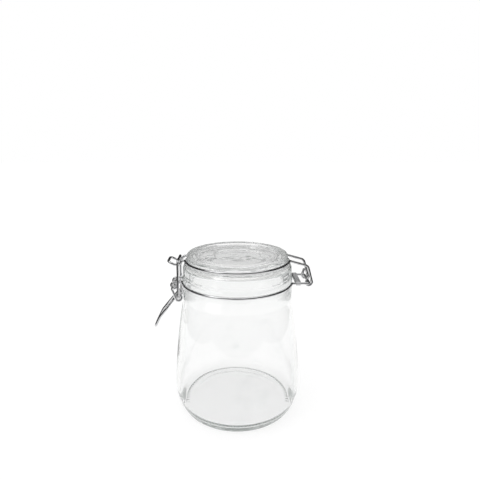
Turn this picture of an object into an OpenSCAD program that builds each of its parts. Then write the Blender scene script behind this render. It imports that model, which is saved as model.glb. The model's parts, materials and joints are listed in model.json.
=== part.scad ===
// Glass storage jar with a clamp-down lid: glass body, glass lid, sealing ring,
// two sprung wire hoops, a crimped hinge clip, and an over-centre wire latch.
// Axes: Z is the jar's axis, the hinge is on +X and the latch is on -X.
// The origin is the centre of the foot ring, on the surface that the jar stands on.

/* [Jar] */
// Height of the glass sealing rim above the foot
rim_z = 142.4; // [115:0.1:200]
// Largest radius of the body
belly_r = 61.8; // [60:0.1:80]
// Height at which the body is widest
belly_z = 23.4; // [18:0.1:40]
// How far the foot ring's outer edge lies inside the widest radius
heel_in = 8.7; // [6:0.1:14]
// Width of the foot ring
foot_w = 4.7; // [3:0.1:8]
// How far the base is pushed up at its centre
push_up = 2.6; // [1:0.1:5]
// Glass thickness at the centre of the base
base_t = 4.0; // [3:0.1:7]
// Wall thickness of the body
wall = 3.2; // [2:0.1:5]
// Height from the body's narrow top to the neck wire
neck_run = 15.5; // [14:0.1:20]
// Share of the taper that is straight; the rest bows outwards
side_bow = 0.41; // [0:0.01:1]
// Inside radius of the mouth
mouth_r = 44.2; // [36:0.1:53]
// Width of the rim, from the mouth to its outer edge
rim_w = 7.1; // [6.5:0.1:9]
// Height of the rim's flange
rim_h = 7.0; // [5:0.1:8]
// Rounding of the rim's upper edges
rim_edge = 1.2; // [0.6:0.1:2]
// How far the body's narrow top stands out from the rim
shoulder_out = 0.6; // [0.6:0.1:2]
// How far the bead that holds the neck wire stands out from the body's narrow top
bead_out = 0.4; // [0.2:0.1:0.6]
// How far that bead stands out from the neck above it
bead_step = 1.4; // [1.2:0.1:2]
// How far the bead reaches below the neck wire
bead_below = 4.5; // [3:0.1:6]
// How far the bead reaches above the neck wire
bead_above = 3.2; // [2:0.1:3.4]
// How far the mouth's wall flares out below the neck
throat_flare = 1.6; // [0.5:0.1:3]
// Depth below the neck wire at which that flare ends
throat_drop = 7.0; // [5:0.1:9]
// How far the inner floor's edge lies inside the foot ring
floor_in = 0.4; // [0.2:0.1:4]
// Height at which the hollow reaches its full width
hollow_z = 15.0; // [13:0.1:18]
// How far the inner floor's edge lies above its thickness at the centre
floor_rise = 0.6; // [0:0.1:1.5]

/* [Lid and seal] */
// How far the lid's top edge lies inside the rim's outer edge
lid_in = 3.9; // [3.6:0.1:5]
// How far the lid's lower flange lies inside the rim's outer edge
flange_in = 1.5; // [1.3:0.1:2]
// Height of the lid above its sealing face
lid_h = 8.9; // [7.5:0.1:12]
// Rounding of the lid's top edge
lid_edge = 1.6; // [0.8:0.1:2.4]
// Height of the lid's underside above its sealing face
lid_hollow = 1.4; // [0.5:0.1:2]
// Thickness of the lid's lower flange
flange_t = 2.1; // [1.5:0.1:2.2]
// Clearance between the mouth and the ridge that locates the lid in it
plug_gap = 1.6; // [1.6:0.1:3]
// Width of that ridge
plug_w = 4.6; // [3:0.1:8]
// How far that ridge reaches below the sealing face
plug_h = 5.0; // [3.5:0.1:5]
// Radius of the sunk disc in the lid's top
disc_r = 20.8; // [12:0.1:26]
// Width of the lid's raised border
border_w = 9.4; // [6:0.1:14]
// How far the middle of the lid's top is below its border
dish = 2.8; // [1:0.1:3.4]
// Thickness of the sealing ring
gasket_t = 2.6; // [2:0.1:4]
// Clearance between the sealing ring and the rim
gasket_gap = 0.1; // [0.05:0.01:0.3]
// Clearance between the sealing ring and the lid's ridge
gasket_fit = 0.3; // [0.1:0.05:0.6]
// How far the sealing ring's outer edge lies inside the rim's outer edge
gasket_in = 1.1; // [0.5:0.1:2]

/* [Wires] */
// Diameter of the neck wire
neck_d = 2.3; // [1.9:0.1:2.8]
// Diameter of the lid wire
lid_d = 2.3; // [1.9:0.1:2.8]
// Diameter of the latch bail's wire
bail_d = 2.3; // [1.8:0.1:2.4]
// Diameter of the lever's wire
lever_d = 2.3; // [1.8:0.1:2.4]
// Smallest bend radius of a wire, on its centre line
bend_r = 1.8; // [1.5:0.1:2]
// How far the neck wire's centre line stands out from the body's narrow top
hoop_out = 0.5; // [0.4:0.1:1]
// How far the lid wire's centre line stands out from the lid's top edge
lid_hoop_out = 2.0; // [1.9:0.1:2.4]
// Radial clearance of a wire in its glass groove
groove_gap = 0.12; // [0.05:0.01:0.3]
// Sideways clearance between the neck wire's eyes and the lever's arms
arm_gap = 0.3; // [0.3:0.05:0.5]
// Sideways clearance between the lever's arms and the bail's legs
leg_gap = 0.6; // [0.5:0.05:0.8]
// Sideways clearance between the nose and the bail's legs
nose_gap = 0.4; // [0.3:0.05:0.6]
// Sideways clearance between the lid wire's hooks and the neck wire's hinge arms
hinge_gap = 0.45; // [0.3:0.05:0.8]
// Neck wire's depth below the glass rim
neck_drop = 14.9; // [13.5:0.1:18]
// Lid wire's height above the lid's sealing face
lid_wire_up = 3.5; // [3.4:0.1:4]

/* [Hinge] */
// How far the hinge axis stands out from the neck wire's hoop
hinge_out = 14.5; // [13:0.1:18]
// Half the spacing of the lid wire's hinge arms
hinge_arm_y = 11.0; // [9:0.1:13]
// Radial clearance between the lid wire's hooks and the neck wire that they turn on
hook_gap = 0.45; // [0.3:0.05:0.8]
// Height of the hinge arms' elbow above the hinge axis
elbow_up = 16.2; // [13:0.1:18]
// How far the elbow stands in from the hinge axis, towards the lid
elbow_in = 1.6; // [0:0.1:3]
// Length of the hook's free tail
tail_len = 6.4; // [4:0.1:8]
// Angle round the hook at which its tail leaves it
tail_a = 196; // [180:1:220]
// Width of the hinge clip, along the neck wire's arms
clip_w = 4.2; // [3:0.1:5]
// How far the hinge clip starts outside the neck wire's hoop
clip_out = 2.2; // [2:0.1:4]
// Clearance between the hinge clip and the neck wire's arms
clip_gap = 0.08; // [0.05:0.01:0.2]
// Thickness of the hinge clip's strap
clip_t = 0.7; // [0.5:0.05:0.9]

/* [Latch] */
// How far the lever's pivot stands out from the neck wire's hoop
pivot_out = 7.1; // [6.8:0.1:8]
// How far the lever's pivot lies below the neck wire's hoop
pivot_drop = 3.5; // [3.2:0.1:4]
// Half the spacing of the neck wire's latch eyes
eye_y = 7.0; // [6.5:0.1:8]
// Angle, past a whole turn, at which those eyes' cut ends lie
eye_end_a = 15; // [0:1:40]
// Radial clearance between the neck wire's eyes and the lever's trunnions
eye_gap = 0.6; // [0.3:0.05:0.7]
// Radial clearance between the lever's eyes and the bail's pins
lever_eye_gap = 0.4; // [0.3:0.05:0.5]
// Link pin's distance from the lever's pivot
crank_r = 12.46; // [12:0.01:13]
// Angle of that distance below the horizontal, with the latch closed
crank_a = 71.3; // [69:0.1:73]
// How far the lever arm's corner stands out from the pivot
knee_out = 2.2; // [1.5:0.1:3]
// How far that corner lies below the pivot
knee_drop = 2.8; // [2:0.1:3.5]
// Half the spacing of the handle's side wires
handle_y = 9.8; // [9:0.1:11]
// Straight length with which the handle leaves the link pin
handle_lead = 5; // [4:0.1:6]
// Length over which the handle's sides reach their full spacing
handle_spread = 11; // [9:0.1:12]
// Length of the handle from the link pin to its bend
handle_len = 26; // [22:0.1:40]
// Length of the handle from its bend to its tip
tip_len = 12; // [8:0.1:16]
// Angle of the handle below the horizontal, with the latch closed
handle_a = 51.5; // [45:0.1:60]
// How much steeper the handle's tip is
tip_bend = 11.9; // [0:0.1:20]
// Half the spacing of the lid wire's nose
nose_y = 8.9; // [8:0.1:9.2]
// How far the nose's tip stands out from the lid wire's hoop
nose_out = 14.9; // [13.5:0.1:15.5]
// How far the nose dips below the lid wire's hoop
nose_dip = 3.9; // [3.2:0.1:4.2]
// How far the nose's tip rises above its dip
nose_rise = 3.05; // [2.5:0.05:3.2]
// Clearance between the bail's top bar and the nose's dip, with the latch closed
hold_gap = 1.7; // [1.5:0.05:1.9]
// How far the bail's top bar leans in from its link pins, towards the lid
bail_lean = 0.4; // [0:0.1:1]

/* [Hidden] */
$fn = 64;

rim_r = mouth_r + rim_w;
waist_r = rim_r + shoulder_out;                   // the body's narrow top
foot_r = belly_r - heel_in;
foot_in_r = foot_r - foot_w;                      // where the hollow under the base begins
neck_z = rim_z - neck_drop;                       // plane of the neck wire
waist_z = neck_z - neck_run;                      // height of the body's narrow top
groove_r = neck_d / 2 + groove_gap;               // section radius of the neck's groove
neck_hoop_r = waist_r + hoop_out;                 // centre line of the neck wire's hoop
seat_z = rim_z + gasket_gap + gasket_t;           // the lid's sealing face
lid_top_r = rim_r - lid_in;
lid_top_z = seat_z + lid_h;
flange_r = rim_r - flange_in;
plug_r = mouth_r - plug_gap;
border_r = lid_top_r - border_w;
lid_wire_z = seat_z + lid_wire_up;
lid_hoop_r = lid_top_r + lid_hoop_out;            // centre line of the lid wire's hoop
dip_z = lid_wire_z - nose_dip;                    // centre line of the nose where the bail rests
hinge = [neck_hoop_r + hinge_out, neck_z];        // hinge axis, x and z
hook_r = (neck_d + lid_d) / 2 + hook_gap;         // centre line of the lid wire's hooks
clip_y = hinge_arm_y + (neck_d + lid_d) / 2 + hinge_gap;             // neck wire's hinge arms
pivot = [-neck_hoop_r - pivot_out, neck_z - pivot_drop];             // lever pivot, x and z
link = pivot + crank_r * [cos(crank_a), -sin(crank_a)];              // link pin, x and z
eye_r = (neck_d + lever_d) / 2 + eye_gap;         // centre line of the neck wire's eyes
lever_eye_r = (lever_d + bail_d) / 2 + lever_eye_gap;
coil_y = eye_y;                                                      // plane where the handle starts
lever_arm_y = coil_y + (max(neck_d, lever_d) + lever_d) / 2 + arm_gap;
bail_foot_y = lever_arm_y + (lever_d + bail_d) / 2 + leg_gap;
bail_top_y = nose_y + (lid_d + bail_d) / 2 + nose_gap;
journal_extra = 0.04;                             // a journal's radius over its wire's
heel_power = 4 / 3;                               // shape of the outer heel, where 1 is an ellipse
hollow_power = 1;                                 // shape of the hollow's lower corner

// Bent wire: a list of corners [x, y, z, bend radius], swept as one round section
SIDES = 12;                   // sides of a wire's section
HOOP_STEP = 6;                // degrees between sections on a large bend
BEND_STEP = 20;               // degrees between sections on a small bend
function xyz(p) = [p[0], p[1], p[2]];
function unit(v) = v / norm(v);
function heading(w, i) = unit(xyz(w[i + 1]) - xyz(w[i]));
function turn_at(w, i) = acos(min(1, max(-1, heading(w, i - 1) * heading(w, i))));
function flip(w) = [for (i = [len(w) - 1:-1:0]) [w[i][0], -w[i][1], w[i][2], w[i][3]]];
function across(v) = unit(cross(v, abs(v[2]) < 0.9 ? [0, 0, 1] : [1, 0, 0]));
function square_to(u, t) = unit(u - (u * t) * t);

// Corners of the arcs that follow a circle in a plane of constant Y, between two angles
function ring_xz(c, r, a0, a1, n, y0, y1) = [for (i = [0:n - 1])
    let (a = a0 + (a1 - a0) * (i + 0.5) / n, k = r / cos((a1 - a0) / n / 2),
         y = (y0 + y1) / 2 + (y0 - y1) / 2 * cos(180 * i / max(1, n - 1)))
    [c[0] + k * cos(a), y, c[1] + k * sin(a), r]];

// Corners of the arcs that follow a circle round the jar's axis, between two angles
function ring_xy(r, z, a0, a1, n) = [for (i = [0:n - 1])
    let (a = a0 + (a1 - a0) * (i + 0.5) / n, k = r / cos((a1 - a0) / n / 2))
    [k * cos(a), k * sin(a), z, r]];

// Corner where a hoop's end tangent meets a straight arm that runs at a given Y
function hoop_corner(r, a, y, z, bend) =
    let (s = (r * sin(a) - y) / abs(cos(a)), side = cos(a) > 0 ? 1 : -1)
    [r * cos(a) + side * s * sin(a), y, z, bend];

// Points and directions along the arc that rounds one corner
function arc_at(w, i) =
    let (u1 = heading(w, i - 1), u2 = heading(w, i), turn = turn_at(w, i), r = w[i][3],
         o = xyz(w[i]) + unit(u2 - u1) * r / cos(turn / 2),
         e = unit(xyz(w[i]) - u1 * r * tan(turn / 2) - o),
         n = max(1, ceil(turn / (r > 20 ? HOOP_STEP : BEND_STEP))))
    [for (k = [0:n]) let (a = turn * k / n)
        [o + r * (e * cos(a) + u1 * sin(a)), u1 * cos(a) - e * sin(a)]];

// Points and directions along the whole wire, each place once
function route(w) =
    let (all = concat([[xyz(w[0]), heading(w, 0)]],
             [for (i = [1:len(w) - 2]) each arc_at(w, i)],
             [[xyz(w[len(w) - 1]), heading(w, len(w) - 2)]]))
    [for (i = [0:len(all) - 1]) if (i == 0 || norm(all[i][0] - all[i - 1][0]) > 0.02) all[i]];

module wire(w, d) {
    p = route(w);
    n = len(p);
    r = d / 2 * sqrt(2 * PI / (SIDES * sin(360 / SIDES)));     // the round section's area
    side = [for (i = 0, u = across(p[0][1]); i < n;
                 i = i + 1, u = i < n ? square_to(u, p[i][1]) : u) u];
    points = [for (i = [0:n - 1]) for (k = [0:SIDES - 1])
        let (a = 360 * k / SIDES, v = cross(p[i][1], side[i]))
        p[i][0] + r * (side[i] * cos(a) + v * sin(a))];
    skin = [for (i = [0:n - 2]) for (k = [0:SIDES - 1]) let (m = (k + 1) % SIDES)
        each [[i * SIDES + k, i * SIDES + m, (i + 1) * SIDES + m],
              [i * SIDES + k, (i + 1) * SIDES + m, (i + 1) * SIDES + k]]];
    ends = [[for (k = [SIDES - 1:-1:0]) k], [for (k = [0:SIDES - 1]) (n - 1) * SIDES + k]];
    polyhedron(points = points, faces = [for (f = concat(skin, ends)) [for (k = [len(f) - 1:-1:0]) f[k]]]);
}

// A true round stretch of wire along Y, where another wire turns on it
module journal(c, y0, y1, d) {
    translate([c[0], y1, c[1]]) rotate([90, 0, 0])
        cylinder(h = y1 - y0, d = d + 2 * journal_extra, $fn = 48);
}

function jar_side(t) = belly_r - (belly_r - waist_r) * (side_bow * t + (1 - side_bow) * t * t);

// Body from its foot, at floor_z, to its narrow top, set in from the outside by a thickness;
// the lower corner has the shape of power and reaches its full width at wide_z
function body_outline(set_in, foot, floor_z, wide_z, power) = concat(
    [for (i = [0:12]) let (a = 90 * i / 12)
        [foot + (belly_r - set_in - foot) * pow(sin(a), power),
         floor_z + (wide_z - floor_z) * (1 - pow(cos(a), power))]],
    [for (i = [1:10]) let (t = i / 10) [jar_side(t) - set_in, belly_z + (waist_z - belly_z) * t]]);

module jar_body() {
    bead_r = waist_r + bead_out;
    neck_r = bead_r - bead_step;
    bead_fade = 2;                              // height over which the bead ends in the neck
    rim_slope = 1.2;                            // slope of the rim's underside
    notch = rim_edge * (1 - cos(45));
    floor_r = foot_in_r - floor_in;
    floor_z = base_t + floor_rise;
    throat_z = neck_z - 1;                      // where the mouth's wall starts to flare out
    cavity = body_outline(wall, floor_r, floor_z, hollow_z, hollow_power);
    outer = concat(
        [for (i = [0:8]) [foot_in_r * i / 8, push_up * (1 - pow(i / 8, 4))]],
        body_outline(0, foot_r, 0, belly_z, heel_power),
        [[bead_r, neck_z - bead_below], [bead_r, neck_z + bead_above],
         [neck_r, neck_z + bead_above + bead_fade], [neck_r, rim_z - rim_h - rim_slope],
         [rim_r, rim_z - rim_h], [rim_r, rim_z - rim_edge], [rim_r - notch, rim_z - notch],
         [rim_r - rim_edge, rim_z]]);
    inner = concat(
        [[mouth_r + rim_edge, rim_z], [mouth_r + notch, rim_z - notch], [mouth_r, rim_z - rim_edge],
         [mouth_r, throat_z], [mouth_r + throat_flare, neck_z - throat_drop]],
        [for (i = [len(cavity) - 1:-1:0]) cavity[i]],
        [for (i = [7:-1:0]) [floor_r * i / 8,
            floor_z + (push_up - floor_rise) * (1 - pow(i / 8, 2))]]);
    color([0.86, 0.89, 0.89, 0.45]) rotate_extrude($fn = 120) difference() {
        polygon(concat(outer, inner));
        translate([neck_hoop_r, neck_z]) circle(r = groove_r, $fn = 32);
    }
}

module glass_lid() {
    top = lid_top_z;
    under = seat_z + lid_hollow;
    plug_in_r = plug_r - plug_w;
    plug_z = seat_z - plug_h;
    plug_taper = 1.5;
    chamfer = 0.4;
    color([0.88, 0.91, 0.91, 0.45]) rotate_extrude($fn = 120) difference() {
        polygon(concat(
            [[0, under], [plug_in_r - plug_taper, under], [plug_in_r, seat_z - chamfer],
             [plug_in_r + chamfer, plug_z], [plug_r - 2 * chamfer, plug_z],
             [plug_r, plug_z + 3 * chamfer], [plug_r, seat_z], [flange_r - chamfer, seat_z],
             [flange_r, seat_z + chamfer], [flange_r, seat_z + flange_t - chamfer],
             [flange_r - chamfer, seat_z + flange_t], [lid_top_r + 1, lid_wire_z - 0.2],
             [lid_top_r + 0.7, lid_wire_z + 1.6]],
            [for (i = [0:5]) let (a = 90 * i / 5)
                [lid_top_r - lid_edge * (1 - cos(a)), top - lid_edge * (1 - sin(a))]],
            [[border_r + 2.5, top], [border_r + 0.8, top - 0.3], [border_r - 1.5, top - 0.5 * dish],
             [border_r - 3.5, top - 0.62 * dish], [disc_r + 1, top - 0.78 * dish],
             [disc_r, top - dish], [0, top - dish]]));
        translate([lid_hoop_r, lid_wire_z]) circle(r = lid_d / 2 + groove_gap, $fn = 32);
    }
}

module gasket() {
    inner = plug_r + gasket_fit;
    outer = rim_r - gasket_in;
    edge = 0.4;
    color([0.93, 0.93, 0.91, 0.8]) rotate_extrude($fn = 120)
        translate([0, rim_z + gasket_gap])
            polygon([[inner, edge], [inner + edge, 0], [outer - edge, 0], [outer, edge],
                     [outer, gasket_t - edge], [outer - edge, gasket_t],
                     [inner + edge, gasket_t], [inner, gasket_t - edge]]);
}

// Angle from the X axis at which a hoop turns out into an arm that runs at a given Y
function end_angle(r, y) = asin((y + 0.95 * bend_r) / r);

module neck_wire() {
    a_latch = 180 - end_angle(neck_hoop_r, eye_y);
    a_hinge = end_angle(neck_hoop_r, clip_y);
    free_a = 360 + eye_end_a;
    bar_bend = bend_r + 0.4;
    start = [pivot[0] + eye_r * cos(free_a), eye_y, pivot[1] + eye_r * sin(free_a), 0];
    half = concat([start], ring_xz(pivot, eye_r, free_a, 90, 4, eye_y, eye_y),
        [hoop_corner(neck_hoop_r, a_latch, eye_y, neck_z, bend_r)],
        ring_xy(neck_hoop_r, neck_z, a_latch, a_hinge, 3),
        [hoop_corner(neck_hoop_r, a_hinge, clip_y, neck_z, bend_r)],
        [[hinge[0], clip_y, neck_z, bar_bend]]);
    color([0.72, 0.73, 0.74]) {
        wire(concat(half, flip(half)), neck_d);
        journal(hinge, -clip_y + bar_bend + 0.4, clip_y - bar_bend - 0.4, neck_d);
    }
}

module hinge_clip() {
    inner = neck_d / 2 + clip_gap;
    start_x = neck_hoop_r + clip_out;
    module loop(r) {
        square([2 * clip_y, 2 * r], center = true);
        for (s = [-1, 1]) translate([s * clip_y, 0]) circle(r = r, $fn = 48);
    }
    color([0.78, 0.79, 0.80]) translate([start_x, 0, neck_z])
        rotate([90, 0, 90]) linear_extrude(clip_w) difference() {
            loop(inner + clip_t);
            loop(inner);
        }
}

module lid_wire() {
    a_hinge = end_angle(lid_hoop_r, hinge_arm_y);
    a_nose = 180 - end_angle(lid_hoop_r, nose_y);
    elbow = hinge + [-elbow_in, elbow_up];
    run = hinge - elbow;
    fall = atan2(run[1], run[0]) + asin(hook_r / norm(run));     // heading of the arm's drop
    hook_0 = fall + 90;
    hook_1 = -tail_a;
    tail = hinge + hook_r * [cos(hook_1), sin(hook_1)]
         + tail_len * [cos(hook_1 - 90), sin(hook_1 - 90)];
    elbow_bend = 5;
    // How far out the nose starts to fall, reaches its foot and turns up again
    nose_fall = 1.6;
    nose_foot = 4.5;
    nose_turn = 8.6;
    foot_up = 0.6;                              // the foot's height over the dip
    nose_x = [for (out = [nose_fall, nose_foot, nose_turn, nose_out]) -lid_hoop_r - out];
    half = concat([[tail[0], hinge_arm_y, tail[1], 0]],
        ring_xz(hinge, hook_r, hook_1, hook_0, 4, hinge_arm_y, hinge_arm_y),
        [[elbow[0], hinge_arm_y, elbow[1], elbow_bend]],
        [hoop_corner(lid_hoop_r, a_hinge, hinge_arm_y, lid_wire_z, bend_r)],
        ring_xy(lid_hoop_r, lid_wire_z, a_hinge, a_nose, 3),
        [hoop_corner(lid_hoop_r, a_nose, nose_y, lid_wire_z, bend_r)],
        [[nose_x[0], nose_y, lid_wire_z, 2], [nose_x[1], nose_y, dip_z + foot_up, 3],
         [nose_x[2], nose_y, dip_z, 6], [nose_x[3], nose_y, dip_z + nose_rise, 4]]);
    color([0.74, 0.75, 0.76]) wire(concat(half, flip(half)), lid_d);
}

module latch_bail() {
    bar = [link[0] + bail_lean, dip_z + (lid_d + bail_d) / 2 + hold_gap];
    bar_bend = 2.5;
    pin_y = eye_y - 1.5;                        // where the link pins end
    half = [[bar[0], bail_top_y, bar[1], bar_bend], [link[0], bail_foot_y, link[1], bend_r],
            [link[0], pin_y, link[1], 0]];
    color([0.74, 0.75, 0.76]) {
        wire(concat(flip(half), half), bail_d);
        for (s = [-1, 1]) scale([1, s, 1]) journal(link, pin_y - 0.2, bail_foot_y - bend_r, bail_d);
    }
}

module lever() {
    knee = pivot - [knee_out, knee_drop];
    run = link - knee;
    fall = atan2(run[1], run[0]) - asin(lever_eye_r / norm(run));   // heading of the arm
    eye_0 = fall - 90;
    eye_1 = 180 + handle_a - 90;
    out = [-cos(handle_a), -sin(handle_a)];                         // heading of the handle
    leave = link + lever_eye_r * [cos(eye_1), sin(eye_1)];
    near = leave + handle_lead * out;
    spread = near + handle_spread * out;
    elbow = leave + handle_len * out;
    tip = elbow + tip_len * [-cos(handle_a + tip_bend), -sin(handle_a + tip_bend)];
    trunnion_y = eye_y - 1.8;                   // where the trunnions end
    side_bend = 8;
    elbow_bend = 14;
    tip_bend_r = 4.5;
    half = concat([[pivot[0], trunnion_y, pivot[1], 0], [pivot[0], lever_arm_y, pivot[1], bend_r],
                   [knee[0], lever_arm_y, knee[1], bend_r]],
        ring_xz(link, lever_eye_r, eye_0, eye_1, 5, lever_arm_y, coil_y),
        [[near[0], coil_y, near[1], side_bend], [spread[0], handle_y, spread[1], side_bend],
         [elbow[0], handle_y, elbow[1], elbow_bend], [tip[0], handle_y, tip[1], tip_bend_r]]);
    color([0.74, 0.75, 0.76]) {
        wire(concat(half, flip(half)), lever_d);
        for (s = [-1, 1]) scale([1, s, 1]) journal(pivot, trunnion_y - 0.2, lever_arm_y - bend_r, lever_d);
    }
}

jar_body();
glass_lid();
gasket();
neck_wire();
hinge_clip();
lid_wire();
latch_bail();
lever();
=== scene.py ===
# A glass storage jar with a clamp-down lid: pressed glass, a sealing ring and sprung wires.
# Sizes are in millimetres until a mesh is made; the jar's axis is Z, hinge on +X, latch on -X.
import json
import math

import bpy
import numpy as np
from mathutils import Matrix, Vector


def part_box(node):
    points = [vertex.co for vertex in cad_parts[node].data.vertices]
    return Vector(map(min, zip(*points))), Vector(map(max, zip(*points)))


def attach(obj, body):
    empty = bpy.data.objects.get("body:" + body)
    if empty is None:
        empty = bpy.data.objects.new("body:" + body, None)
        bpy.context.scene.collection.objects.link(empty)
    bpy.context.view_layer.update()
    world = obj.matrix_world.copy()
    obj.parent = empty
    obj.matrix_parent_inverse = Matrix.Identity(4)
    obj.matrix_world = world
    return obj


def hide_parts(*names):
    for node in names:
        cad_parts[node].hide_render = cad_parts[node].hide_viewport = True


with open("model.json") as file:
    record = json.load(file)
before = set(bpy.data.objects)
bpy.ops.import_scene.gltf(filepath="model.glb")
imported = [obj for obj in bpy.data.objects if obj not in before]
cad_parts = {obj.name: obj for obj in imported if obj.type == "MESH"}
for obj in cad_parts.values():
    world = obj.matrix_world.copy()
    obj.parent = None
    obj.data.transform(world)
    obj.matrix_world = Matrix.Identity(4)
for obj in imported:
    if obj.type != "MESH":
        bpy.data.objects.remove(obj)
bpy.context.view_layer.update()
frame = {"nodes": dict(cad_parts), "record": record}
mm = 0.001
print("frame loaded:", ", ".join(sorted(frame["nodes"])))


def span(node):  # lowest and highest corner of a CAD node
    lowest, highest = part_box(node)
    return np.array(lowest) / mm, np.array(highest) / mm


def jointPlace(name):  # x and z of a joint's axis
    joint = next(j for j in frame["record"]["behaviour"]["joints"] if j["name"] == name)
    return np.array(joint["pos_m"])[[0, 2]] / mm


hingeAxis = jointPlace("lid_open")
pivot = jointPlace("lever_swing")
link = jointPlace("bail_swing")
neckZ = hingeAxis[1]
rimZ = span("jar_body")[1][2]
seatZ = span("gasket")[1][2]
lidTopZ = span("glass_lid")[1][2]


def turned(angle):  # unit vector in a plane, for an angle in degrees
    return np.array([math.cos(math.radians(angle)), math.sin(math.radians(angle))])


def roundedPath(corners, turnStep=5.0, support=0.2):
    # Corners are x, y, z and bend radius. Each one becomes an arc that touches both of its straights,
    # and a straight beside an arc gets a station close to either end. Returns stations and headings.
    corners = np.array(corners, float)
    spots, bends = corners[:, :3], corners[:, 3]
    leg = np.diff(spots, axis=0)
    leg /= np.linalg.norm(leg, axis=1)[:, None]
    stations, headings = [spots[:1]], [leg[:1]]
    for spot, before, after, bend in zip(spots[1:-1], leg[:-1], leg[1:], bends[1:-1]):
        turn = math.acos(min(1.0, max(-1.0, before @ after)))
        if bend == 0 or turn < 1e-3:
            middle = before + after
            stations.append(spot[None])
            headings.append(middle[None] / np.linalg.norm(middle))
            continue
        inward = (after - before) / np.linalg.norm(after - before)
        centre = spot + inward * bend / math.cos(turn / 2)
        outward = spot - before * bend * math.tan(turn / 2) - centre
        outward /= np.linalg.norm(outward)
        angle = np.linspace(0, turn, max(2, math.ceil(math.degrees(turn) / turnStep)) + 1)[:, None]
        stations.append(centre + bend * (outward * np.cos(angle) + before * np.sin(angle)))
        headings.append(before * np.cos(angle) - outward * np.sin(angle))
    stations.append(spots[-1:])
    headings.append(leg[-1:])
    whole, pointing = [stations[0]], [headings[0]]
    for last, new, heading in zip(stations[:-1], stations[1:], headings[1:]):
        gap = new[0] - last[-1]
        length = np.linalg.norm(gap)
        if length > 6 * support and len(last) + len(new) > 2:
            along = gap / length
            whole.append(np.array([last[-1] + along * support, new[0] - along * support]))
            pointing.append(np.array([along, along]))
        fresh = 1 if length < 1e-4 else 0
        whole.append(new[fresh:])
        pointing.append(heading[fresh:])
    return np.vstack(whole), np.vstack(pointing)


def carriedSides(headings, first):
    # A side vector goes along a path untwisted: at each station the last one is made square to the heading.
    sides = [np.array(first, float)]
    for heading in headings:
        side = sides[-1] - heading * (sides[-1] @ heading)
        sides.append(side / np.linalg.norm(side))
    return np.array(sides[1:])


def shell(name, rings, poles=None, grain=None):
    # Rings of points joined by four-sided faces. Two poles close the ends with fans; with none the last
    # ring meets the first. Faces are turned over if the enclosed volume comes out negative.
    rows, columns = rings.shape[:2]
    index = np.arange(rows * columns).reshape(rows, columns)
    beside = np.roll(index, -1, axis=1)
    if poles is None:
        low, lowBeside = index, beside
        high, highBeside = np.roll(index, -1, axis=0), np.roll(beside, -1, axis=0)
        points, fans = rings.reshape(-1, 3), []
    else:
        low, lowBeside, high, highBeside = index[:-1], beside[:-1], index[1:], beside[1:]
        points = np.vstack([rings.reshape(-1, 3), poles])
        start, end = np.full(columns, rows * columns), np.full(columns, rows * columns + 1)
        fans = [np.stack([index[0], start, beside[0]], axis=1),
                np.stack([index[-1], beside[-1], end], axis=1)]
    quads = np.stack([low, lowBeside, highBeside, high], axis=-1).reshape(-1, 4)
    a, b, c, d = (points[quads[:, k]] for k in range(4))
    volume = np.sum(a * np.cross(b, c)) + np.sum(a * np.cross(c, d))
    if volume < 0:
        quads, fans = quads[:, ::-1], [fan[:, ::-1] for fan in fans]
    faces = quads.tolist() + [face for fan in fans for face in fan.tolist()]
    mesh = bpy.data.meshes.new(name)
    mesh.from_pydata(points * mm, [], faces)
    mesh.shade_smooth()
    if grain is not None:
        carried = mesh.attributes.new("grain", "FLOAT_VECTOR", "POINT")
        values = grain.reshape(-1, 3)
        if poles is not None:
            values = np.vstack([values, grain[0, 0], grain[-1, 0]])
        carried.data.foreach_set("vector", values.astype(np.float32).ravel())
    piece = bpy.data.objects.new(name, mesh)
    bpy.context.scene.collection.objects.link(piece)
    print(f"{name}: {len(quads) * 2} triangles")
    return piece


def lathe(name, profile, columns, shift=None):
    # A profile of radius and height goes once round the jar's axis; shift(radius, height, angle) moves the
    # result by small amounts in radius and height. Ends on the axis become poles.
    angle = np.linspace(0, 2 * np.pi, columns, endpoint=False)
    closed = profile[0][0] == 0
    middle = profile[1:-1] if closed else profile
    radius = np.repeat(middle[:, :1], columns, axis=1)
    height = np.repeat(middle[:, 1:2], columns, axis=1)
    if shift is not None:
        outward, upward = shift(radius, height, angle[None])
        radius, height = radius + outward, height + upward
    rings = np.stack([radius * np.cos(angle), radius * np.sin(angle), height], axis=-1)
    poles = np.array([[0, 0, profile[0][1]], [0, 0, profile[-1][1]]]) if closed else None
    return shell(name, rings, poles)


def outline(corners):  # corners of radius, height and fillet, as a smooth profile
    stations, _ = roundedPath([(r, 0, z, fillet) for r, z, fillet in corners], turnStep=9)
    return stations[:, [0, 2]]


def sweepSection(name, stations, headings, section, firstSide, scale=None):
    # Section point (a, b) lands on station + a * side + b * (heading x side), with flat ends.
    sides = carriedSides(headings, firstSide)
    ups = np.cross(headings, sides)
    size = np.ones(len(stations)) if scale is None else scale
    a = section[None, :, 0] * size[:, None]
    b = section[None, :, 1] * size[:, None]
    rings = stations[:, None] + a[..., None] * sides[:, None] + b[..., None] * ups[:, None]
    travelled = np.r_[0, np.cumsum(np.linalg.norm(np.diff(stations, axis=0), axis=1))]
    grain = np.stack([a, b, np.repeat(travelled[:, None], len(section), axis=1)], axis=-1)
    return shell(name, rings, np.array([stations[0], stations[-1]]), grain)


wireStock = {
    "diameter": 2.3,
    "bend": 1.8,          # smallest bend radius
    "sides": 20,
    "turnStep": 5.0,      # degrees between stations in a bend
    "cutEdge": 0.22,      # chamfer on a cut end
    "passing": 0.3,       # gap between wires that pass each other
}


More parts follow.
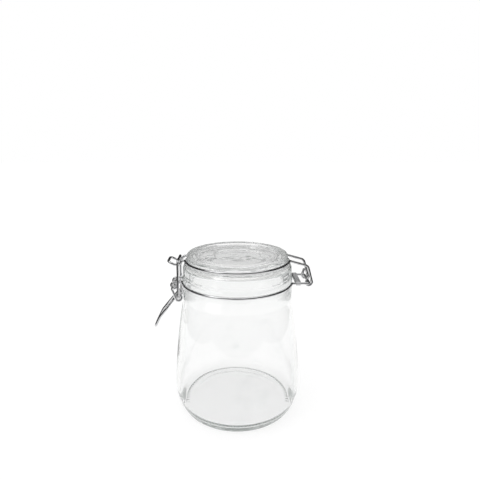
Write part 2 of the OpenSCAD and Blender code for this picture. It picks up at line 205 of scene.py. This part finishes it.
def bentWire(name, corners):
    # A round section goes along the corners' path; a small chamfer takes the edge off each cut end.
    stations, headings = roundedPath(corners, wireStock["turnStep"])
    cut = wireStock["cutEdge"]
    stations = np.vstack([stations[:1], stations[0] + headings[0] * cut, stations[1:-1],
                          stations[-1] - headings[-1] * cut, stations[-1:]])
    headings = np.vstack([headings[:1], headings[:1], headings[1:-1], headings[-1:], headings[-1:]])
    radius = np.full(len(stations), wireStock["diameter"] / 2)
    radius[[0, -1]] -= cut
    angle = np.linspace(0, 2 * np.pi, wireStock["sides"], endpoint=False)
    section = np.stack([np.cos(angle), np.sin(angle)], axis=1)
    across = np.cross(headings[0], (0.3, 0.5, 0.8))
    return sweepSection(name, stations, headings, section, across, radius)


def mirrored(half):  # the second half of a wire that is the same on both sides of y = 0
    return half + [(x, -y, z, bend) for x, y, z, bend in reversed(half)]


def arcCorners(centre, radius, start, end, count, startY, endY=None):
    # Corners whose bends follow a circle in an upright plane, moving from startY to endY as they go round.
    endY = startY if endY is None else endY
    step = (end - start) / count
    reach = radius / math.cos(math.radians(step / 2))
    corners = []
    for i in range(count):
        x, z = centre + reach * turned(start + step * (i + 0.5))
        y = (startY + endY) / 2 + (startY - endY) / 2 * math.cos(math.pi * i / max(1, count - 1))
        corners.append((x, y, z, radius))
    return corners


def hoopCorners(radius, z, start, end, count):  # corners whose bends follow a circle round the jar's axis
    step = (end - start) / count
    reach = radius / math.cos(math.radians(step / 2))
    return [(*(reach * turned(start + step * (i + 0.5))), z, radius) for i in range(count)]


def hoopEnd(radius, y):  # angle from the X axis at which a hoop turns out into an arm at that y
    return math.degrees(math.asin((y + wireStock["bend"] * 0.95) / radius))


def armCorner(radius, angle, y, z):  # where the hoop's end tangent meets the arm
    x, across = radius * turned(angle)
    slide = (across - y) / abs(turned(angle)[0])
    return (x + math.copysign(slide * turned(angle)[1], x), y, z, wireStock["bend"])


jar = {
    "bellyRadius": span("jar_body")[1][0],
    "bellyZ": 23.4,
    "footRadius": 53.1,
    "footInside": 48.4,
    "pushUp": 2.6,
    "baseThickness": 4.0,
    "floorRise": 0.6,      # the inner floor's edge over that thickness
    "floorRadius": 48.0,
    "hollowZ": 15.0,       # height at which the hollow reaches its full width
    "wall": 3.2,
    "heelPower": 4 / 3,    # shape of the outer heel, where 1 is an ellipse
    "hollowPower": 1,
    "waistRadius": 51.9,
    "waistZ": neckZ - 15.5,
    "sideBow": 0.41,       # share of the taper that is straight
    "neckBead": 52.3,      # radius of the bead that holds the neck wire
    "beadBelow": 4.5,
    "beadAbove": 3.2,
    "beadFade": 2.0,       # height over which the bead ends in the neck
    "grooveRadius": 51.05,
    "grooveFlat": 1.15,    # half the height of the groove's floor
    "grooveMouth": 1.6,    # half the height of the groove at the bead
    "neckRadius": 50.9,
    "mouthRadius": 44.2,
    "rimRadius": 51.3,
    "rimHeight": 7.0,
    "rimSlope": 1.2,
    "rimEdge": 1.2,
    "throatStart": 1.0,    # below the neck wire
    "throatDrop": 7.0,
    "throatFlare": 1.6,
    "stipples": 96,        # bumps round the foot ring
    "stippleDepth": 0.75,
    "settle": 0.16,        # how far the inner wall wanders from true
    "settleZ": (12, 118),  # heights between which it does
    "settleFade": 20,
    "columns": 384,
}


def jarSide(share):  # radius of the body between its widest and its narrowest height
    bow = jar["sideBow"] * share + (1 - jar["sideBow"]) * share ** 2
    return jar["bellyRadius"] - (jar["bellyRadius"] - jar["waistRadius"]) * bow


def bodyCorners(inset, foot, floorZ, wideZ, power):
    # The lower corner goes from the foot to wideZ as sine and cosine raised to a power, where 1 is an
    # ellipse; the side above it is a bowed taper.
    angle = np.linspace(0, np.pi / 2, 26)
    heelR = foot + (jar["bellyRadius"] - inset - foot) * np.sin(angle) ** power
    heelZ = floorZ + (wideZ - floorZ) * (1 - np.clip(np.cos(angle), 0, 1) ** power)
    share = np.linspace(0, 1, 15)[1:]
    sideZ = jar["bellyZ"] + (jar["waistZ"] - jar["bellyZ"]) * share
    radii = np.r_[heelR, jarSide(share) - inset]
    return [(r, z, 0) for r, z in zip(radii, np.r_[heelZ, sideZ])]


def jarProfile():
    dome = np.linspace(0, 1, 12)
    floorZ = jar["baseThickness"] + jar["floorRise"]
    rise = jar["pushUp"] - jar["floorRise"]
    foot = np.linspace(jar["footInside"], jar["footRadius"], 11)[1:-1]
    bead, groove, neck = jar["neckBead"], jar["grooveRadius"], jar["neckRadius"]
    rim, mouth = jar["rimRadius"], jar["mouthRadius"]
    beadTop, rimBottom = neckZ + jar["beadAbove"], rimZ - jar["rimHeight"]
    flat, edge = jar["grooveFlat"], jar["grooveMouth"]
    under = [(jar["footInside"] * s, jar["pushUp"] * (1 - s ** 4), 0) for s in dome]
    outside = [
        (bead, neckZ - jar["beadBelow"], 3), (bead, neckZ - edge, 0.35), (groove, neckZ - flat, 1.1),
        (groove, neckZ + flat, 1.1), (bead, neckZ + edge, 0.35), (bead, beadTop, 1.2),
        (neck, beadTop + jar["beadFade"], 1.2), (neck, rimBottom - jar["rimSlope"], 0.7),
        (rim, rimBottom, 0.5), (rim, rimZ, jar["rimEdge"]),
    ]
    inside = [
        (mouth, rimZ, jar["rimEdge"]), (mouth, neckZ - jar["throatStart"], 6),
        (mouth + jar["throatFlare"], neckZ - jar["throatDrop"], 6),
    ]
    body = bodyCorners(0, jar["footRadius"], 0, jar["bellyZ"], jar["heelPower"])
    cavity = bodyCorners(jar["wall"], jar["floorRadius"], floorZ, jar["hollowZ"], jar["hollowPower"])[::-1]
    floor = [(jar["floorRadius"] * s, floorZ + rise * (1 - s ** 2), 0) for s in dome[::-1][1:]]
    return outline(under + [(r, 0, 0) for r in foot] + body + outside + inside + cavity + floor)


def jarShift(radius, height, angle):
    # On the foot ring the glass is cut up between bumps: a raised cosine across the ring times one round it.
    # On the inner wall the radius wanders by slow waves, strongest at mid height.
    middle = (jar["footInside"] + jar["footRadius"]) / 2
    half = (jar["footRadius"] - jar["footInside"]) / 2
    across = np.clip(1 - ((radius - middle) / half) ** 2, 0, 1) * (height < 0.01)
    bump = (0.5 + 0.5 * np.cos(jar["stipples"] * angle)) ** 2
    upward = jar["stippleDepth"] * across * (1 - across * bump)
    outer = np.interp(height, [jar["bellyZ"], jar["waistZ"]], [jar["bellyRadius"], jar["waistRadius"]])
    low, high = jar["settleZ"]
    rising = np.clip((height - low) / jar["settleFade"], 0, 1)
    falling = np.clip((high - height) / jar["settleFade"], 0, 1)
    inner = (radius < outer - jar["wall"] / 2) * rising * falling
    waves = np.sin(2 * angle + 0.7) + 0.6 * np.sin(3 * angle - 0.05 * height) + 0.4 * np.sin(0.11 * height)
    return jar["settle"] * inner * waves, upward


lid = {
    "topRadius": 47.4,
    "flangeRadius": 49.8,
    "flangeThickness": 2.1,
    "plugRadius": 42.6,
    "plugWidth": 4.6,
    "plugHeight": 5.0,
    "underside": 1.4,      # height of the underside above the sealing face
    "discRadius": 20.8,
    "borderRadius": 38.0,
    "dish": 2.8,
    "wireUp": 3.5,         # lid wire above the sealing face
    "hoopGap": 2.0,        # lid wire's centre line outside the top edge
    "grooveDepth": 1.36,   # from that centre line in to the groove's floor
    "ringRadius": 30,      # faint ring between the border and the disc
    "faceWave": 0.10,      # how uneven the pressed faces are
    "columns": 400,
}
lidWireZ = seatZ + lid["wireUp"]
lidHoop = lid["topRadius"] + lid["hoopGap"]


def lidProfile():
    top, flange, plug = lid["topRadius"], lid["flangeRadius"], lid["plugRadius"]
    disc, border, dish = lid["discRadius"], lid["borderRadius"], lid["dish"]
    inner = plug - lid["plugWidth"]
    grooveR = lidHoop - lid["grooveDepth"]
    return outline([
        (0, seatZ + lid["underside"], 0), (inner - 1.5, seatZ + lid["underside"], 1.2),
        (inner, seatZ - 0.5, 1.5), (inner + 0.4, seatZ - lid["plugHeight"], 0.9),
        (plug, seatZ - lid["plugHeight"], 1.3), (plug, seatZ, 0.3), (flange, seatZ, 0.5),
        (flange, seatZ + lid["flangeThickness"], 0.45), (grooveR + 0.5, lidWireZ - 1.4, 0.4),
        (grooveR, lidWireZ - 0.7, 0.6), (grooveR, lidWireZ + 0.8, 0.6), (top - 0.1, lidWireZ + 1.9, 0.6),
        (top, lidTopZ, 1.6), (border + 2.2, lidTopZ, 1.2), (border - 1.0, lidTopZ - 0.5 * dish, 1.6),
        (border - 3.5, lidTopZ - 0.62 * dish, 1.5), (lid["ringRadius"], lidTopZ - 0.64 * dish, 3),
        (disc + 1.8, lidTopZ - 0.80 * dish, 1.0), (disc, lidTopZ - dish, 0.8), (0, lidTopZ - dish, 0),
    ])


def lidShift(radius, height, angle):
    # The pressed faces are a little uneven: slow waves round the axis, fading at the rim and the centre.
    face = np.clip((lid["borderRadius"] - radius) / 8, 0, 1) * np.clip(radius / 15, 0, 1)
    waves = np.sin(2 * angle + 0.4 + 0.12 * radius) + 0.7 * np.sin(3 * angle - 0.2 * radius)
    return 0 * radius, lid["faceWave"] * face * waves


sealRing = {"innerRadius": 42.9, "outerRadius": 50.2, "edge": 0.55, "airGap": 0.05, "columns": 256}


def sealProfile():  # a flat ring with round edges; the first corner is repeated halfway along a side
    low, high = span("gasket")[0][2], seatZ - sealRing["airGap"]
    inner, outer, edge = sealRing["innerRadius"], sealRing["outerRadius"], sealRing["edge"]
    middle = (inner + outer) / 2
    ring = outline([(middle, low, 0), (outer, low, edge), (outer, high, edge), (inner, high, edge),
                    (inner, low, edge), (middle, low, 0)])
    return ring[:-1]


hinge = {
    "armY": 11.0,
    "hookRadius": 2.75,
    "elbowUp": 16.2,
    "elbowIn": 1.6,
    "elbowBend": 5,
    "tail": 6.4,
    "tailAngle": -196,
    "armGap": 0.45,        # between the lid wire's hooks and the neck wire's arms
    "barBend": 2.2,
}
clip = {
    "width": 4.2,
    "thickness": 0.7,
    "edge": 0.24,
    "seam": 0.4,
    "fromHoop": 2.2,
    "wireGap": 0.08,
    "roundness": 0.98,     # bend radius at the arms, as a share of the strap's reach
}
latch = {
    "pivotOut": 7.1,           # from the neck wire's hoop
    "eyeY": 7.0,
    "neckEye": 2.9,
    "neckEyeEnd": 375,
    "leverEye": 2.7,
    "knee": (-2.2, -2.8),      # from the pivot to the lever arm's corner
    "trunnionEnd": 1.8,        # how far the trunnions reach inside the eyes' plane
    "pinEnd": 1.5,             # how far the bail's pins do
    "handleY": 9.8,
    "handleAngle": 51.5,       # below the horizontal
    "handleLead": 5,
    "handleSpread": 16,
    "handleLength": 26,
    "handleBends": (8, 14, 4.5),  # at the sides, the elbow and the tip
    "tipLength": 12,
    "tipBend": 11.9,
    "noseY": 8.9,
    "noseDip": 3.9,            # below the lid wire's hoop
    "nosePath": ((1.6, 3.9, 2), (4.5, 0.6, 3), (8.6, 0, 6), (14.9, 3.05, 4)),  # out, up from the dip, bend
    "bailLean": 0.4,
    "bailNoseGap": 0.4,
    "bailBend": 2.5,
}
neckHoop = -pivot[0] - latch["pivotOut"]
clipY = hinge["armY"] + wireStock["diameter"] + hinge["armGap"]


def neckCorners():
    atLatch, atHinge = 180 - hoopEnd(neckHoop, latch["eyeY"]), hoopEnd(neckHoop, clipY)
    freeX, freeZ = pivot + latch["neckEye"] * turned(latch["neckEyeEnd"])
    half = [(freeX, latch["eyeY"], freeZ, 0)]
    half += arcCorners(pivot, latch["neckEye"], latch["neckEyeEnd"], 90, 6, latch["eyeY"])
    half += [armCorner(neckHoop, atLatch, latch["eyeY"], neckZ)]
    half += hoopCorners(neckHoop, neckZ, atLatch, atHinge, 3)
    half += [armCorner(neckHoop, atHinge, clipY, neckZ)]
    half += [(hingeAxis[0], clipY, neckZ, hinge["barBend"])]
    return mirrored(half)


def lidWireCorners():
    atHinge, atNose = hoopEnd(lidHoop, hinge["armY"]), 180 - hoopEnd(lidHoop, latch["noseY"])
    elbow = hingeAxis + np.array([-hinge["elbowIn"], hinge["elbowUp"]])
    run = hingeAxis - elbow
    fall = math.degrees(math.atan2(run[1], run[0]) + math.asin(hinge["hookRadius"] / np.linalg.norm(run)))
    leave = hinge["tailAngle"]
    tailX, tailZ = hingeAxis + hinge["hookRadius"] * turned(leave) + hinge["tail"] * turned(leave - 90)
    dipZ = lidWireZ - latch["noseDip"]
    half = [(tailX, hinge["armY"], tailZ, 0)]
    half += arcCorners(hingeAxis, hinge["hookRadius"], leave, fall + 90, 6, hinge["armY"])
    half += [(elbow[0], hinge["armY"], elbow[1], hinge["elbowBend"])]
    half += [armCorner(lidHoop, atHinge, hinge["armY"], lidWireZ)]
    half += hoopCorners(lidHoop, lidWireZ, atHinge, atNose, 3)
    half += [armCorner(lidHoop, atNose, latch["noseY"], lidWireZ)]
    half += [(-lidHoop - out, latch["noseY"], dipZ + up, bend) for out, up, bend in latch["nosePath"]]
    return mirrored(half)


def bailCorners():
    gap, thick = wireStock["passing"], wireStock["diameter"]
    footY = latch["eyeY"] + 2 * thick + 3 * gap
    topY = latch["noseY"] + thick + latch["bailNoseGap"]
    barZ = span("latch_bail")[1][2] - thick / 2
    half = [(link[0], latch["eyeY"] - latch["pinEnd"], link[1], 0),
            (link[0], footY, link[1], wireStock["bend"]),
            (link[0] + latch["bailLean"], topY, barZ, latch["bailBend"])]
    return mirrored(half)


def leverCorners():
    thick, gap = wireStock["diameter"], wireStock["passing"]
    armY = latch["eyeY"] + thick + gap
    coilY = latch["eyeY"]
    side, bent, end = latch["handleBends"]
    knee = pivot + np.array(latch["knee"])
    run = link - knee
    fall = math.degrees(math.atan2(run[1], run[0]) - math.asin(latch["leverEye"] / np.linalg.norm(run)))
    leaveAngle = 90 + latch["handleAngle"]
    out = -turned(latch["handleAngle"])
    leave = link + latch["leverEye"] * turned(leaveAngle)
    reaches = (latch["handleLead"], latch["handleSpread"], latch["handleLength"])
    near, spread, elbow = (leave + reach * out for reach in reaches)
    tip = elbow - latch["tipLength"] * turned(latch["handleAngle"] + latch["tipBend"])
    half = [(pivot[0], latch["eyeY"] - latch["trunnionEnd"], pivot[1], 0),
            (pivot[0], armY, pivot[1], wireStock["bend"]),
            (knee[0], armY, knee[1], wireStock["bend"])]
    half += arcCorners(link, latch["leverEye"], fall - 90, leaveAngle, 9, armY, coilY)
    half += [(near[0], coilY, near[1], side), (spread[0], latch["handleY"], spread[1], side),
             (elbow[0], latch["handleY"], elbow[1], bent), (tip[0], latch["handleY"], tip[1], end)]
    return mirrored(half)


def clipStrap():
    # A flat strip with round edges goes round both arms of the neck wire; its ends meet under the middle.
    half = clip["thickness"] / 2
    reach = wireStock["diameter"] / 2 + clip["wireGap"] + half
    x = neckHoop + clip["fromHoop"] + clip["width"] / 2
    start = clip["seam"] / 2
    low, high, side = neckZ - reach, neckZ + reach, clipY + reach
    bend = reach * clip["roundness"]
    stations, headings = roundedPath([
        (x, start, low, 0), (x, side, low, bend), (x, side, high, bend),
        (x, -side, high, bend), (x, -side, low, bend), (x, -start, low, 0)], 10)
    wide = clip["width"] / 2
    corner = roundedPath([(0, 0, -half, 0), (wide, 0, -half, clip["edge"]), (wide, 0, half, clip["edge"]),
                          (-wide, 0, half, clip["edge"]), (-wide, 0, -half, clip["edge"]),
                          (0, 0, -half, 0)], 22)[0]
    section = corner[:-1][:, [0, 2]]
    return sweepSection("hingeClip", stations, headings, section, (1, 0, 0))


jarPiece = lathe("jarBody", jarProfile(), jar["columns"], jarShift)
lidPiece = lathe("glassLid", lidProfile(), lid["columns"], lidShift)
sealPiece = lathe("sealingRing", sealProfile(), sealRing["columns"])
clipPiece = clipStrap()
neckPiece = bentWire("neckWire", neckCorners())
lidWirePiece = bentWire("lidWire", lidWireCorners())
bailPiece = bentWire("latchBail", bailCorners())
leverPiece = bentWire("leverWire", leverCorners())


class Value:
    # A shader socket that can be used in sums; each operator adds one Math node.
    def __init__(self, finish, socket):
        self.finish = finish
        self.socket = socket

    def __add__(self, other):
        return self.finish.math("ADD", self, other)

    def __sub__(self, other):
        return self.finish.math("SUBTRACT", self, other)

    def __rsub__(self, other):
        return self.finish.math("SUBTRACT", other, self)

    def __mul__(self, other):
        return self.finish.math("MULTIPLY", self, other)

    __radd__ = __add__
    __rmul__ = __mul__


class Finish:
    # A material under construction, or the world.
    def __init__(self, owner):
        owner.use_nodes = True
        self.owner = owner
        self.tree = owner.node_tree
        self.tree.nodes.clear()

    def node(self, kind, settings=None, sockets=None, output=0):
        made = self.tree.nodes.new(kind)
        for key, setting in (settings or {}).items():
            if key == "stops":
                ramp = made.color_ramp
                while len(ramp.elements) < len(setting):
                    ramp.elements.new(1.0)
                for element, (position, shade) in zip(ramp.elements, setting):
                    element.position = position
                    element.color = (shade, shade, shade, 1) if np.isscalar(shade) else (*shade, 1)
            else:
                setattr(made, key, setting)
        for key, given in (sockets or {}).items():
            if isinstance(given, Value):
                self.tree.links.new(given.socket, made.inputs[key])
            else:
                made.inputs[key].default_value = given
        return Value(self, made.outputs[output]) if made.outputs else made

    def math(self, operation, first, second):
        return self.node("ShaderNodeMath", {"operation": operation}, {0: first, 1: second})

    def noise(self, place, scale, detail=2.0, roughness=0.5):
        sockets = {"Vector": place, "Scale": scale, "Detail": detail, "Roughness": roughness}
        return self.node("ShaderNodeTexNoise", {}, sockets, "Fac")

    def smooth(self, given, start, end, low=0.0, high=1.0):
        sockets = {"Value": given, "From Min": start, "From Max": end, "To Min": low, "To Max": high}
        return self.node("ShaderNodeMapRange", {"interpolation_type": "SMOOTHSTEP"}, sockets)

    def mixColour(self, share, first, second):
        settings = {"data_type": "RGBA"}
        return self.node("ShaderNodeMix", settings, {"Factor": share, 6: first, 7: second}, 2)

    def bump(self, height, distance):
        return self.node("ShaderNodeBump", {}, {"Height": height, "Distance": distance})

    def surface(self, shader, volume=None):
        output = self.tree.nodes.new("ShaderNodeOutputMaterial")
        self.tree.links.new(shader.socket, output.inputs["Surface"])
        if volume is not None:
            self.tree.links.new(volume.socket, output.inputs["Volume"])
        return self.owner


def glassFinish(name, look):
    # Pressed glass: slow waviness and fine ripple in the surface, a trace of handling haze, weak absorption.
    finish = Finish(bpy.data.materials.new(name))
    place = finish.node("ShaderNodeTexCoord", output="Object")
    slow = finish.noise(place, look["waveScale"], 1.5)
    fine = finish.noise(place, look["rippleScale"], 3.0)
    haze = finish.smooth(finish.noise(place, look["hazeScale"], 4.0, 0.6), 0.52, 0.75)
    shape = finish.bump(slow + fine * look["rippleShare"], look["waveDepth"])
    tint = finish.mixColour(haze, look["clear"], look["dull"])
    skin = finish.node("ShaderNodeBsdfPrincipled", {}, {
        "Base Color": tint, "Roughness": haze * look["hazeRoughness"], "Normal": shape,
        "IOR": look["ior"], "Transmission Weight": 1.0})
    depth = finish.node("ShaderNodeVolumeAbsorption", {}, {
        "Color": look["depthColour"], "Density": look["depthDensity"]})
    return finish.surface(skin, depth)


jarGlass = {
    "waveScale": 38.0, "waveDepth": 0.0001, "rippleScale": 210.0, "rippleShare": 0.05,
    "hazeScale": 55.0, "hazeRoughness": 0.03,
    "clear": (1.0, 1.0, 1.0, 1), "dull": (0.965, 0.97, 0.968, 1),
    "ior": 1.5, "depthColour": (0.50, 0.54, 0.52, 1), "depthDensity": 14.0,
}
lidGlass = dict(jarGlass, waveScale=46.0, waveDepth=0.0003, depthDensity=2.5)


def sealFinish():
    # Clear soft rubber: translucent, slightly grey, with a matt moulded grain and faint dust.
    finish = Finish(bpy.data.materials.new("clearSeal"))
    place = finish.node("ShaderNodeTexCoord", output="Object")
    grain = finish.noise(place, 900.0, 3.0)
    dust = finish.smooth(finish.noise(place, 160.0, 4.0, 0.65), 0.5, 0.8)
    shade = finish.mixColour(dust, (0.99, 0.99, 0.985, 1), (0.93, 0.93, 0.92, 1))
    skin = finish.node("ShaderNodeBsdfPrincipled", {}, {
        "Base Color": shade, "Roughness": 0.05 + dust * 0.2, "Normal": finish.bump(grain, 0.00004),
        "IOR": 1.41, "Transmission Weight": 1.0})
    return finish.surface(skin)


def metalFinish(name, look):
    # Drawn and polished wire: streaks run along the wire on its own grain coordinates, with small dull pits.
    finish = Finish(bpy.data.materials.new(name))
    place = finish.node("ShaderNodeTexCoord", output="Object")
    grain = finish.node("ShaderNodeAttribute", {"attribute_name": "grain"}, {}, "Vector")
    stretched = finish.node("ShaderNodeVectorMath", {"operation": "MULTIPLY"}, {0: grain, 1: look["stretch"]})
    streaks = finish.noise(stretched, 1.0, 4.0, 0.6)
    cloud = finish.noise(place, look["cloudScale"], 3.0)
    pits = finish.smooth(finish.noise(place, look["pitScale"], 2.0), 0.66, 0.74)
    wear = finish.smooth(cloud, 0.35, 0.65)
    bright = finish.mixColour(wear, look["bright"], look["dull"])
    shade = finish.mixColour(pits * 0.6, bright, look["pit"])
    rough = look["roughness"] + streaks * 0.06 + wear * 0.05 + pits * 0.3
    height = streaks * 0.6 + cloud * 0.4 - pits
    skin = finish.node("ShaderNodeBsdfPrincipled", {}, {
        "Base Color": shade, "Roughness": rough, "Normal": finish.bump(height, look["relief"]),
        "Metallic": look["metallic"]})
    return finish.surface(skin)


wireLook = {
    "stretch": (2.2, 2.2, 0.05), "cloudScale": 130.0, "pitScale": 1500.0, "relief": 0.00003,
    "roughness": 0.10, "metallic": 1.0,
    "bright": (0.80, 0.80, 0.81, 1), "dull": (0.66, 0.66, 0.67, 1), "pit": (0.25, 0.25, 0.26, 1),
}
clipLook = dict(wireLook, stretch=(1.2, 0.4, 0.10), roughness=0.38, relief=0.00005, metallic=0.45)


def finishPiece(piece, finish, body, node):
    piece.data.materials.append(finish)
    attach(piece, body)
    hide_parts(node)


bodyGlass = glassFinish("bodyGlass", jarGlass)
topGlass = glassFinish("lidGlass", lidGlass)
wireMetal = metalFinish("drawnWire", wireLook)
clipMetal = metalFinish("clipStrip", clipLook)
sealRubber = sealFinish()
finishPiece(jarPiece, bodyGlass, "jar", "jar_body")
finishPiece(neckPiece, wireMetal, "jar", "neck_wire")
finishPiece(clipPiece, clipMetal, "jar", "hinge_clip")
finishPiece(lidPiece, topGlass, "lid", "glass_lid")
finishPiece(sealPiece, sealRubber, "lid", "gasket")
finishPiece(lidWirePiece, wireMetal, "lid", "lid_wire")
finishPiece(bailPiece, wireMetal, "bail", "latch_bail")
finishPiece(leverPiece, wireMetal, "lever", "lever")
print("pieces finished and riding on their bodies")

studio = {
    "floorSize": 12.0,
    "floorShade": 0.25,
    "floorGlow": 0.82,
    "horizon": 1.0,
    "softBand": 0.62,      # the grey band above the horizon, as glass and paper see it
    "dark": 0.03,          # what polished metal sees beside it
    "overhead": 1.2,
    "tableRadius": 0.33,   # the part of the floor that polished metal sees
    "boxSize": 0.5,
    "boxPower": 1.5,
    "boxPlace": (-0.55, -0.35, 0.75),
    "boxAim": (0, 0, 0.08),
    "floorZ": -0.0002,     # just under the jar, so that the two don't flicker
    "tableZ": -0.0003,
}


def card(name, width, height, finish):  # a level square, facing up
    mesh = bpy.data.meshes.new(name)
    half = width / 2
    corners = [(-half, -half, 0), (half, -half, 0), (half, half, 0), (-half, half, 0)]
    mesh.from_pydata(corners, [], [(0, 1, 2, 3)])
    mesh.materials.append(finish)
    made = bpy.data.objects.new(name, mesh)
    made.location = (0, 0, height)
    bpy.context.scene.collection.objects.link(made)
    return made


def paleFloor():  # white paper that glows a little, as a light table does
    finish = Finish(bpy.data.materials.new("paleFloor"))
    shade = studio["floorShade"]
    glow = studio["floorGlow"]
    skin = finish.node("ShaderNodeBsdfPrincipled", {}, {
        "Base Color": (shade, shade, shade, 1), "Roughness": 0.9, "Specular IOR Level": 0.1,
        "Emission Color": (1, 1, 1, 1), "Emission Strength": glow})
    return finish.surface(skin)


def glowing():
    finish = Finish(bpy.data.materials.new("table"))
    skin = finish.node("ShaderNodeEmission", {}, {"Color": (1, 1, 1, 1), "Strength": studio["horizon"]})
    return finish.surface(skin)


def studioSky():
    # Brightness depends only on height: a white horizon, a grey band above it and a bright overhead light.
    world = bpy.data.worlds.new("studio")
    bpy.context.scene.world = world
    sky = Finish(world)
    direction = sky.node("ShaderNodeTexCoord", output="Generated")
    height = sky.node("ShaderNodeSeparateXYZ", {}, {"Vector": direction}, "Z")
    path = {key: sky.node("ShaderNodeLightPath", output=key)
            for key in ("Is Camera Ray", "Is Glossy Ray", "Transmission Depth")}
    soft = studio["horizon"] - (studio["horizon"] - studio["softBand"]) * sky.smooth(height, 0.10, 0.26)
    rise = sky.smooth(height, 0.76, 0.92)
    sharp = path["Is Glossy Ray"] * sky.smooth(path["Transmission Depth"], 1, 0)
    low = soft + sharp * (studio["dark"] - soft)
    level = low + rise * (studio["overhead"] - low)
    level = level + path["Is Camera Ray"] * (studio["horizon"] - level)
    background = sky.node("ShaderNodeBackground", {}, {"Color": (1, 1, 1, 1), "Strength": level})
    output = sky.tree.nodes.new("ShaderNodeOutputWorld")
    sky.tree.links.new(background.socket, output.inputs["Surface"])


def softBox():
    light = bpy.data.lights.new("softBox", "AREA")
    light.size = studio["boxSize"]
    light.energy = studio["boxPower"]
    made = bpy.data.objects.new("softBox", light)
    made.location = studio["boxPlace"]
    aim = np.array(studio["boxAim"]) - np.array(studio["boxPlace"])
    made.rotation_euler = (math.acos(-aim[2] / np.linalg.norm(aim)), 0, math.atan2(-aim[0], aim[1]))
    bpy.context.scene.collection.objects.link(made)


floor = card("floor", studio["floorSize"], studio["floorZ"], paleFloor())
table = card("table", studio["tableRadius"] * 2, studio["tableZ"], glowing())
for way in ("camera", "diffuse", "transmission", "shadow", "volume_scatter"):
    setattr(table, "visible_" + way, False)
floor.visible_glossy = False
studioSky()
softBox()

view = {
    "distance": 0.371,     # from the jar's axis, level
    "height": 0.2515,
    "pitch": 13.6,         # degrees below level
    "yaw": 1.0,            # degrees round the jar, towards the latch
    "lens": 30.43,
    "shift": (0.0056, 0.0094),
    "bounces": 48,         # light crosses many glass faces before it leaves
}


def makeCamera():
    data = bpy.data.cameras.new("camera")
    data.lens = view["lens"]
    data.sensor_width = 36
    data.shift_x, data.shift_y = view["shift"]
    data.clip_start = 0.01
    made = bpy.data.objects.new("camera", data)
    yaw = math.radians(view["yaw"])
    made.location = (-view["distance"] * math.sin(yaw), -view["distance"] * math.cos(yaw), view["height"])
    made.rotation_euler = (math.radians(90 - view["pitch"]), 0, -yaw)
    bpy.context.scene.collection.objects.link(made)
    bpy.context.scene.camera = made


makeCamera()
bpy.context.scene.view_settings.view_transform = "Standard"
for kind in ("max", "transmission", "glossy"):
    setattr(bpy.context.scene.cycles, kind + "_bounces", view["bounces"])
print("studio and camera ready")
